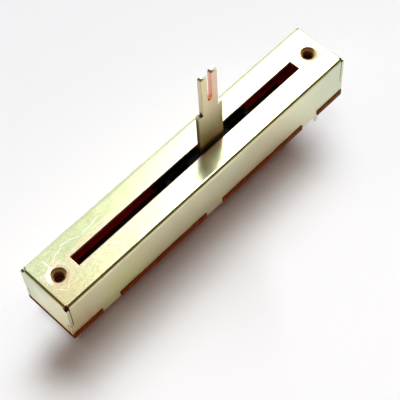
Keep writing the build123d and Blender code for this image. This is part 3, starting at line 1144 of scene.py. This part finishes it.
    def dress(self, graph: Graph, shader: Node) -> None:
        """Blade, clouds, cut edges, painted light and shade on arrises, notches and tips, and grain; see
        Finish.dress.
        """
        spot = Spot(graph)
        aside = graph.minus(spot.x, self.centre)
        from_centre = graph.unsigned(aside)
        side = graph.remap(graph.unsigned(spot.facing_y), self.FACES_ALONG)
        high = graph.remap(spot.z, self.STEM_HEIGHTS)
        edges = self.edges(graph)
        grain = self.grain(graph, spot.place, self.FINENESS, Rolling.ALONG_Z.value)
        colour = graph.mix(side, self.blade(spot, aside, high), self.cut_edge(spot, from_centre))
        # Painted light and shade on the arrises: a highlight low down, a dark reflected line on the stem and
        # prongs.
        arris_light_and_shade = graph.mix(high, self.ARRIS_PAINTED_HIGHLIGHT, self.ARRIS_PAINTED_SHADE)
        colour = graph.mix(graph.times(edges["Mask"], self.ARRIS_SHARE), colour, arris_light_and_shade)
        # Painted shade in the left notch and under the hollow, painted light in the right notch, a painted
        # glint in the hollow.
        for centre, radius, tint in self.spots():
            colour = graph.tint(colour, tint, Patch.near(spot, centre, radius), side)
        rough = graph.remap(grain["Height"], SheetGrain.HEIGHTS, self.SATIN)
        graph.feed(shader, {
            "Base Color": self.capped(spot, colour, aside, from_centre),
            "Metallic": 1.0,
            "Roughness": graph.plus(rough, graph.times(side, self.SIDE_ROUGH)),
            "Normal": graph.bump(grain["Height"], self.GRAIN_DEPTH, Normal=edges["Normal"]),
        })


@dataclass(frozen=True)
class Acetal(Finish):
    """Moulded black acetal, satin, with the faint texture of the mould."""

    BLACK = (0.007, 0.007, 0.0075)
    RUBBED = (0.028, 0.027, 0.026)

    TEXTURE = 3800.0
    TEXTURE_DEPTH = 0.006 * MM
    DUST_SPACING = 1500.0
    DUST_SIZE = 0.09
    WORN_SHARE = 0.6
    DUST_SHARE = 0.5
    SATIN = (0.48, 0.6)
    GLOSS = 0.25

    def dress(self, graph: Graph, shader: Node) -> None:
        """Black, mould texture, rubbed edges and dust; see Finish.dress."""
        place = graph.place()
        edges = self.edges(graph)
        texture = self.grain(graph, place, self.TEXTURE)
        dust = Specks().put(graph, Place=place, Spacing=self.DUST_SPACING, Size=self.DUST_SIZE)["Mask"]
        lighter = graph.most(graph.times(edges["Mask"], self.WORN_SHARE), graph.times(dust, self.DUST_SHARE))
        graph.feed(shader, {
            "Base Color": graph.mix(lighter, self.BLACK, self.RUBBED),
            "Roughness": graph.remap(texture["Cloud"], SheetGrain.CLOUDS, self.SATIN),
            "Specular IOR Level": self.GLOSS,
            "Normal": graph.bump(texture["Height"], self.TEXTURE_DEPTH, Normal=edges["Normal"]),
        })


FINISHES: tuple[Finish, ...] = (
    PlatedSteel(Slot.PLATED_CASE, edge_radius=0.1 * MM, edge_gain=5.0),
    PaperLaminate(Slot.LAMINATE),
    PrintedFilm(Slot.CARBON_FILM),
    PrintedFilm(Slot.SILVER_FILM, ink=(0.60, 0.59, 0.56), worn=(0.78, 0.77, 0.74), metal=0.9, rough=0.48),
    SpringSheet(Slot.TINNED_BRASS, rolling=Rolling.EVEN, rough=0.34),
    Acetal(Slot.BLACK_ACETAL, edge_radius=0.08 * MM, edge_gain=2.0),
    LeverSteel(Slot.LEVER_STEEL, edge_radius=0.2 * MM, edge_gain=2.5),
    SpringSheet(
        Slot.CONTACT_SPRING,
        face=(0.75, 0.70, 0.58),
        cloud=(0.68, 0.63, 0.53),
        sheared=(0.60, 0.54, 0.44),
        rough=0.24,
    ),
    SpringSheet(
        Slot.BRONZE_SPRING,
        face=(0.76, 0.47, 0.28),
        cloud=(0.66, 0.38, 0.22),
        sheared=(0.80, 0.56, 0.38),
        rough=0.26,
    ),
)


class Wardrobe:
    """The materials, one for each finish, put on the pieces that need them."""

    def __init__(self) -> None:
        """Make every material."""
        self.materials = {finish.slot: finish.material() for finish in FINISHES}

    def dress(self, piece: Piece, slot: Slot) -> None:
        """Put the slot's material on a piece.

        Args:
            piece: the object.
            slot: the slot whose finish it gets.
        """
        if not piece.data.materials:
            piece.data.materials.append(None)
        for place in range(len(piece.data.materials)):
            piece.data.materials[place] = self.materials[slot]
        log.info("%s wears %s", piece.name, slot.value)


def mesh_object(name: str, points: list[Vector], faces: list[tuple[int, ...]]) -> Piece:
    """Make an object from points and faces, and put it in the scene.

    Args:
        name: the object's name.
        points: the corners.
        faces: the corners' numbers for each face.

    Returns:
        The object.
    """
    mesh = bpy.data.meshes.new(name)
    mesh.from_pydata(points, [], faces)
    mesh.validate()
    made = bpy.data.objects.new(name, mesh)
    bpy.context.scene.collection.objects.link(made)
    return made


@dataclass
class ThreadedHole:
    """The screw thread in the drawn collar of a mounting hole."""

    name: str
    x: float
    bore_radius: float = CASE.bore_radius
    crest: float = 0.13 * MM
    root: float = 0.03 * MM
    pitch: float = 0.5 * MM
    ridge: float = 0.2 * MM
    bottom: float = 15.68 * MM
    top: float = 16.86 * MM
    run_out: float = 0.125
    thinnest: float = 0.3
    crest_share: float = 0.12
    steps: int = 48

    def section(self, share: float) -> list[tuple[float, float]]:
        """Shape the ridge, which runs out at both ends.

        Args:
            share: how far along the ridge the section is, from 0 to 1.

        Returns:
            The radius and the rise of its four corners, from the lower root to the upper one.
        """
        fade = min(1.0, share / self.run_out, (1.0 - share) / self.run_out)
        tall = self.ridge * (self.thinnest + (1.0 - self.thinnest) * fade)
        root = self.bore_radius + self.root
        crest = self.bore_radius - self.crest * fade
        flat = tall * self.crest_share
        return [(root, -tall / 2), (crest, -flat), (crest, flat), (root, tall / 2)]

    def build(self, wardrobe: Wardrobe) -> None:
        """Wind the ridge up the bore.

        Args:
            wardrobe: the materials.
        """
        turns = (self.top - self.bottom - self.ridge) / self.pitch
        count = int(turns * self.steps)
        points = []
        for step in range(count + 1):
            share = step / count
            angle = share * turns * math.tau
            height = self.bottom + self.ridge / 2 + share * turns * self.pitch
            for radius, rise in self.section(share):
                across = radius * math.sin(angle)
                points.append(Vector((self.x + radius * math.cos(angle), across, height + rise)))
        faces: list[tuple[int, ...]] = [(3, 2, 1, 0), tuple(count * 4 + i for i in range(4))]
        for base in range(0, count * 4, 4):
            for i, j in ((0, 1), (1, 2), (2, 3), (3, 0)):
                faces.append((base + i, base + j, base + 4 + j, base + 4 + i))
        ridge = mesh_object(self.name, points, faces)
        wardrobe.dress(ridge, Slot.PLATED_CASE)
        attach(ridge, "housing")
        log.info("%s: %d faces", self.name, len(faces))


@dataclass
class SubAssembly:
    """Pieces of the frame that belong together, and the slot whose finish each wears."""

    nodes: dict[str, Piece]
    wears: ClassVar[dict[str, Slot]] = {}

    def build(self, wardrobe: Wardrobe) -> None:
        """Dress the pieces in the wardrobe's materials."""
        for name, slot in self.wears.items():
            wardrobe.dress(self.nodes[name], slot)


@dataclass
class Housing(SubAssembly):
    """The case, the board with its printed films, and the threads in the mounting holes."""

    hole_x: float = CASE.hole_x
    wears: ClassVar[dict[str, Slot]] = {
        "case": Slot.PLATED_CASE,
        "base_board": Slot.LAMINATE,
        "resistive_track": Slot.CARBON_FILM,
        "collector_track": Slot.CARBON_FILM,
        "silver_pad_track_near": Slot.SILVER_FILM,
        "silver_pad_track_far": Slot.SILVER_FILM,
        "silver_pad_collector_near": Slot.SILVER_FILM,
    }

    def build(self, wardrobe: Wardrobe) -> None:
        """Dress the housing and cut its threads.

        Args:
            wardrobe: the materials.
        """
        super().build(wardrobe)
        for name, x in (("thread_near", -self.hole_x), ("thread_far", self.hole_x)):
            ThreadedHole(name, x).build(wardrobe)


@dataclass
class Terminals(SubAssembly):
    """The four terminals and the eyelets that hold them."""

    wears: ClassVar[dict[str, Slot]] = {
        f"{kind}_{place}": Slot.TINNED_BRASS
        for place in ("track_near", "track_far", "collector_near", "spare_far")
        for kind in ("terminal", "eyelet")
    }


@dataclass
class Slider(SubAssembly):
    """The carriage, the lever and the springs that travel with it."""

    wears: ClassVar[dict[str, Slot]] = {
        "carriage": Slot.BLACK_ACETAL,
        "lever": Slot.LEVER_STEEL,
        "wiper": Slot.CONTACT_SPRING,
        "drag_spring_near_side": Slot.BRONZE_SPRING,
        "drag_spring_far_side": Slot.BRONZE_SPRING,
    }


def direction(azimuth: float, elevation: float) -> Vector:
    """Turn angles into a direction.

    Args:
        azimuth: the angle from +X towards +Y, in degrees.
        elevation: the angle up from the floor, in degrees.

    Returns:
        The direction, of length 1.
    """
    turn = math.radians(azimuth)
    rise = math.radians(elevation)
    return Vector((math.cos(turn) * math.cos(rise), math.sin(turn) * math.cos(rise), math.sin(rise)))


@dataclass(frozen=True)
class LightPanel:
    """A soft panel that faces the part. Angles are in degrees, seen from the part."""

    name: str
    azimuth: float
    elevation: float
    width: float
    height: float
    brightness: float
    colour: Colour
    distance: float = 3.6
    mirrored: bool = True
    lights: bool = True

    def build(self) -> None:
        """Set up the lamp, sized and powered for its angles and brightness."""
        lamp = bpy.data.lights.new(self.name, "AREA")
        lamp.shape = "RECTANGLE"
        lamp.size = 2 * self.distance * math.tan(math.radians(self.width / 2))
        lamp.size_y = 2 * self.distance * math.tan(math.radians(self.height / 2))
        lamp.energy = self.brightness * math.pi * lamp.size * lamp.size_y
        lamp.color = self.colour
        towards = direction(self.azimuth, self.elevation)
        made = bpy.data.objects.new(self.name, lamp)
        made.location = towards * self.distance
        made.rotation_mode = "QUATERNION"
        made.rotation_quaternion = towards.to_track_quat("Z", "Y")
        made.visible_camera = False
        made.visible_glossy = self.mirrored
        made.visible_diffuse = self.lights
        bpy.context.scene.collection.objects.link(made)
        log.info("%s: %.1f W", self.name, lamp.energy)


@dataclass(frozen=True)
class PaintedFloorLight:
    """Painted light on the floor beside one of the part's ends, which fades the shadow there. Each span runs
    from no painted light to full painted light.
    """

    along: Span
    across: Span
    centre: Point
    away: Span

    def mask(self, graph: Graph, place: Socket) -> Socket:
        """Find where the painted light goes.

        Args:
            graph: the floor's tree.
            place: the place on the floor.

        Returns:
            The mask's output.
        """
        x, y, _ = graph.split(place)
        away = graph.remap(graph.vector("DISTANCE", place, self.centre), self.away)
        return graph.times(graph.remap(x, self.along), graph.remap(y, self.across), away)


@dataclass
class Studio:
    """A pale floor with painted light by the part's ends and a painted falloff, four soft panels, and the dim
    side of the room.
    """

    panels: tuple[LightPanel, ...] = (
        LightPanel("window_panel", 9.5, 50.0, 37.0, 40.0, 4.8, (1.0, 1.0, 1.0), lights=False),
        LightPanel("high_panel", 39.5, 50.0, 38.0, 27.0, 11.3, (0.93, 0.965, 1.0), mirrored=False),
        LightPanel("low_panel", 48.0, 28.0, 40.0, 26.0, 0.5, (0.95, 0.97, 1.0), mirrored=False),
        LightPanel("ceiling_panel", 215.0, 82.0, 50.0, 34.0, 0.85, (1.0, 0.95, 0.90), 1.4, mirrored=False),
    )
    painted_floor_lights: tuple[PaintedFloorLight, ...] = (
        PaintedFloorLight((24.0 * MM, 40.0 * MM), (MM, -5.0 * MM), (42.0 * MM, -12.0 * MM, 0.0), (40.0 * MM, 16.0 * MM)),
        PaintedFloorLight((-40.0 * MM, -46.0 * MM), (-8.0 * MM, 2.0 * MM), (-49.0 * MM, MM, 0.0), (18.0 * MM, 6.0 * MM)),
    )
    painted_light_share: float = 0.85
    floor_half: float = 3.0
    floor_near: Colour = (0.965, 0.966, 0.97)
    floor_painted_falloff: Colour = (0.84, 0.845, 0.86)
    floor_plain: Colour = (0.95, 0.95, 0.955)
    floor_fades_along: Point = (0.4, 0.92, 0.0)
    floor_fades: Span = (-0.06, 0.09)
    floor_turns_plain: Span = (0.12, 0.4)
    room_radius: float = 2.2
    room_sides: Span = (118.0, 352.0)
    room_top: float = 84.0
    room_columns: int = 24
    room_rows: int = 10
    room_light: Colour = (0.14, 0.083, 0.054)
    room_mirrored: Colour = (0.10, 0.065, 0.018)
    room_low: Colour = (0.26, 0.21, 0.12)
    room_low_heights: Span = (0.6, 0.3)
    fill_colour: Colour = (0.10, 0.09, 0.08)

    def seen(self, graph: Graph) -> Socket:
        """Whether the camera, a mirror image or a view through something looks."""
        path = graph.add("ShaderNodeLightPath").outputs
        return graph.most(path["Is Camera Ray"], path["Is Glossy Ray"], path["Is Transmission Ray"])

    def floor(self) -> Piece:
        """Lay the floor, lit near the part, plain white further out, and with painted light by the part's ends
        that fades their shadow.

        Returns:
            The floor's object.
        """
        half = self.floor_half
        corners = [Vector((x * half, y * half, 0.0)) for x, y in ((-1, -1), (1, -1), (1, 1), (-1, 1))]
        made = mesh_object("floor", corners, [(0, 1, 2, 3)])
        paint, graph = new_material("floor")
        place = graph.place()
        behind = graph.vector("DOT_PRODUCT", place, self.floor_fades_along)
        # Painted shade: the floor's colour darkens towards the back, standing in for light falloff.
        tone = graph.mix(graph.remap(behind, self.floor_fades), self.floor_near, self.floor_painted_falloff)
        far = graph.remap(graph.vector("LENGTH", place), self.floor_turns_plain)
        # Painted light: the floor turns plain white beside both ends, fading the shadow there.
        painted_light_mask = graph.most(*(end.mask(graph, place) for end in self.painted_floor_lights))
        plain_share = graph.times(graph.most(far, graph.times(painted_light_mask, self.painted_light_share)), self.seen(graph))
        lit = graph.add("ShaderNodeBsdfDiffuse", {"Color": tone})
        plain = graph.glow("ShaderNodeEmission", self.floor_plain)
        graph.end("ShaderNodeOutputMaterial", plain_share, lit, plain)
        made.data.materials.append(paint)
        return made

    def room(self) -> Piece:
        """Raise the dim side of the room, which the plated faces mirror and the camera doesn't see.

        Returns:
            The room side's object.
        """
        start, end = self.room_sides
        points = []
        for row in range(self.room_rows + 1):
            for column in range(self.room_columns + 1):
                azimuth = start + (end - start) * column / self.room_columns
                points.append(direction(azimuth, self.room_top * row / self.room_rows) * self.room_radius)
        faces = []
        across = self.room_columns + 1
        for row in range(self.room_rows):
            for base in range(row * across, row * across + self.room_columns):
                faces.append((base, base + 1, base + across + 1, base + across))
        made = mesh_object("room_side", points, faces)
        paint, graph = new_material("room_side")
        light = graph.glow("ShaderNodeEmission", self.room_light)
        height = graph.math("DIVIDE", graph.split(graph.place())[2], self.room_radius)
        tone = graph.mix(graph.remap(height, self.room_low_heights), self.room_mirrored, self.room_low)
        mirrored = graph.glow("ShaderNodeEmission", tone)
        graph.end("ShaderNodeOutputMaterial", self.seen(graph), light, mirrored)
        made.data.materials.append(paint)
        made.visible_camera = False
        return made

    def surround(self) -> None:
        """Set up the world: white where it is seen, dim where it lights."""
        world = bpy.data.worlds.new("studio")
        world.use_nodes = True
        world.node_tree.nodes.clear()
        bpy.context.scene.world = world
        graph = Graph(world.node_tree)
        dim = graph.glow("ShaderNodeBackground", self.fill_colour)
        white = graph.glow("ShaderNodeBackground", (1.0, 1.0, 1.0))
        graph.end("ShaderNodeOutputWorld", self.seen(graph), dim, white)

    def build(self) -> None:
        """Set the studio up."""
        self.floor()
        self.room()
        self.surround()
        for panel in self.panels:
            panel.build()
        log.info("studio: %d panels", len(self.panels))


@dataclass
class PhotoCamera:
    """The camera at the photo's angle, slightly rolled. Its angles are in degrees."""

    azimuth: float = -42.26
    elevation: float = 59.26
    roll: float = 4.36
    distance: float = 258.8 * MM
    target: Point = (-6.18 * MM, -9.22 * MM, 18.01 * MM)
    lens: float = 106.21
    sensor_width: float = 36.0
    clips: Span = (0.01, 20.0)

    def build(self) -> None:
        """Set the scene's camera up."""
        back = direction(self.azimuth - 90.0, self.elevation)
        right = (-back).cross(Vector((0.0, 0.0, 1.0))).normalized()
        up = back.cross(right)
        lean = math.radians(self.roll)
        rolled_right = right * math.cos(lean) - up * math.sin(lean)
        rolled_up = right * math.sin(lean) + up * math.cos(lean)
        lens = bpy.data.cameras.new("photo_camera")
        lens.lens = self.lens
        lens.sensor_width = self.sensor_width
        lens.clip_start, lens.clip_end = self.clips
        made = bpy.data.objects.new("photo_camera", lens)
        axes = Matrix((rolled_right, rolled_up, back)).transposed()
        made.matrix_world = Matrix.Translation(Vector(self.target) + back * self.distance) @ axes.to_4x4()
        bpy.context.scene.collection.objects.link(made)
        bpy.context.scene.camera = made
        log.info("camera at %s", tuple(round(part, 4) for part in made.location))


def write_sizes() -> None:
    """Log a line; no boxes are kept or written."""
    log.info("boxes written")


def main() -> None:
    """Build the part, the studio and the camera, in that order."""
    logging.basicConfig(level=logging.INFO, format="%(message)s")
    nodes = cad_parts
    wardrobe = Wardrobe()
    for kind in (Housing, Terminals, Slider):
        kind(nodes).build(wardrobe)
    Studio().build()
    PhotoCamera().build()
    bpy.context.scene.view_settings.view_transform = "Standard"
    write_sizes()


if __name__ == "__main__":
    main()
